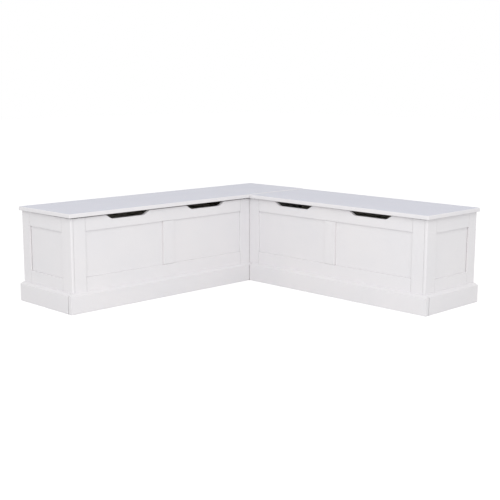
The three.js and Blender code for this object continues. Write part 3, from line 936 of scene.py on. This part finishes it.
class MakeBumpers(bpy.types.Operator):
    """Makes the rubber bumpers under the lids' front edges, each with a screw sunk in it"""

    bl_idname = "corner_bench.bumpers"
    bl_label = "Bumpers"

    def execute(self, context):
        colours = context.scene.corner_bench_colours
        sizes = context.scene.corner_bench_sizes
        rubber = moulded_rubber("rubber", colours.rubber)
        steel = plated_steel("bumper_screw_steel", colours.stay_steel)
        for bench in BENCHES:
            for label in ("end", "inner"):
                self.make_bumper(f"{bench}_buffer_{label}", f"{bench}_{label}_bumper", sizes, rubber, steel)
        return {"FINISHED"}

    def make_bumper(self, replaced, name, sizes, rubber, steel):
        """A tapered bumper with rounded ends and a bore, and a screw on the bore's floor."""
        low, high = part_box(replaced)
        radius = (high.x - low.x) / 2
        height = high.z - low.z
        bore = sizes.screw_head * 1.12
        sunk = height * 0.45
        foot = [(0, 0), (radius * 0.97, 0), (radius, 0.0004), (radius * 0.99, 0.0011)]
        top = [(radius * 0.86, height - 0.0009), (radius * 0.82, height - 0.0003), (radius * 0.75, height)]
        hole = [(bore + 0.0005, height), (bore, height - 0.0006), (bore, sunk), (0, sunk)]
        screw_lift = 0.0003
        shape = turned(foot + top + hole, sides=40)
        base = Matrix.Translation(((low.x + high.x) / 2, (low.y + high.y) / 2, low.z))
        bumper = piece(name, "carcass", rubber, [(shape, base)])
        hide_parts(replaced)
        head = base @ Matrix.Translation((0, 0, sunk + screw_lift))
        piece(f"{name}_screw", "carcass", steel, [(cross_screw(sizes.screw_head), head)])


class MakeJoiningBolts(bpy.types.Operator):
    """Makes the bolts that join the benches, with a washer and a low socketed head at each end"""

    bl_idname = "corner_bench.joining_bolts"
    bl_label = "Joining bolts"

    def execute(self, context):
        colour = context.scene.corner_bench_colours.stay_steel
        steel = plated_steel("joining_bolt_steel", colour, grain=1)
        for label in ("rear", "front"):
            self.make_bolt(f"joining_bolt_{label}", f"{label}_joining_bolt", steel)
        return {"FINISHED"}

    def make_bolt(self, replaced, name, steel):
        """A rod through the boards that it holds together, with a washer and a head at each end."""
        head_height = 0.004
        shank = 0.0038
        shoulder, thickness = 0.0009, 0.0012
        rise, socket, socket_depth = 0.0012, 0.0032, 0.0022
        low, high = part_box(replaced)
        middle = (low + high) / 2
        radius = (high.x - low.x) / 2
        rim = [(radius, 0), (radius, shoulder), (radius * 0.97, thickness)]
        washer = turned([(0, 0), *rim, (0, thickness)], sides=40)
        cap = socket_head(radius * 0.8, rise, socket, socket_depth)
        length = high.y - low.y - 2 * head_height
        rod = turned([(0, 0), (shank, 0), (shank, length), (0, length)])
        shapes = [(rod, facing((middle.x, low.y + head_height, middle.z), (0, 1, 0)))]
        for end, normal in ((high.y, 1), (low.y, -1)):
            seat = end - normal * head_height
            outer = seat + normal * (thickness + rise)
            shapes.append((washer, facing((middle.x, seat, middle.z), (0, normal, 0))))
            shapes.append((cap, facing((middle.x, outer, middle.z), (0, normal, 0), GOLDEN_ANGLE)))
        bolt = piece(name, "carcass", steel, shapes)
        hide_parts(replaced)


class CornerBenchPanel(bpy.types.Panel):
    """Lists the steps that make the bench, and their settings"""

    bl_idname = "VIEW3D_PT_corner_bench"
    bl_label = "Corner storage bench"
    bl_space_type = "VIEW_3D"
    bl_region_type = "UI"
    bl_category = "Corner bench"

    def draw(self, context):
        scene = context.scene
        for operator in OPERATORS:
            self.layout.operator(operator.bl_idname)
        for settings in (scene.corner_bench_colours, scene.corner_bench_sizes, scene.corner_bench_stage):
            box = self.layout.box()
            for name in settings.__annotations__:
                box.prop(settings, name)


OPERATORS = (
    MakeStage,
    FinishFrames,
    FinishPlinths,
    FinishLids,
    FinishInnerBoards,
    FinishHinges,
    FinishStays,
    MakeBumpers,
    MakeJoiningBolts,
)
SETTINGS = {
    "corner_bench_colours": CornerBenchColours,
    "corner_bench_sizes": CornerBenchSizes,
    "corner_bench_stage": CornerBenchStage,
}


def register():
    for kind in (*SETTINGS.values(), *OPERATORS, CornerBenchPanel):
        bpy.utils.register_class(kind)
    for name, kind in SETTINGS.items():
        setattr(bpy.types.Scene, name, bpy.props.PointerProperty(type=kind))


def unregister():
    for name in SETTINGS:
        delattr(bpy.types.Scene, name)
    for kind in reversed((*SETTINGS.values(), *OPERATORS, CornerBenchPanel)):
        bpy.utils.unregister_class(kind)


def main():
    register()
    bpy.ops.corner_bench.stage()
    bpy.ops.corner_bench.frames()
    bpy.ops.corner_bench.plinths()
    bpy.ops.corner_bench.lids()
    bpy.ops.corner_bench.inner_boards()
    bpy.ops.corner_bench.hinges()
    bpy.ops.corner_bench.stays()
    bpy.ops.corner_bench.bumpers()
    bpy.ops.corner_bench.joining_bolts()


if __name__ == "__main__":
    main()
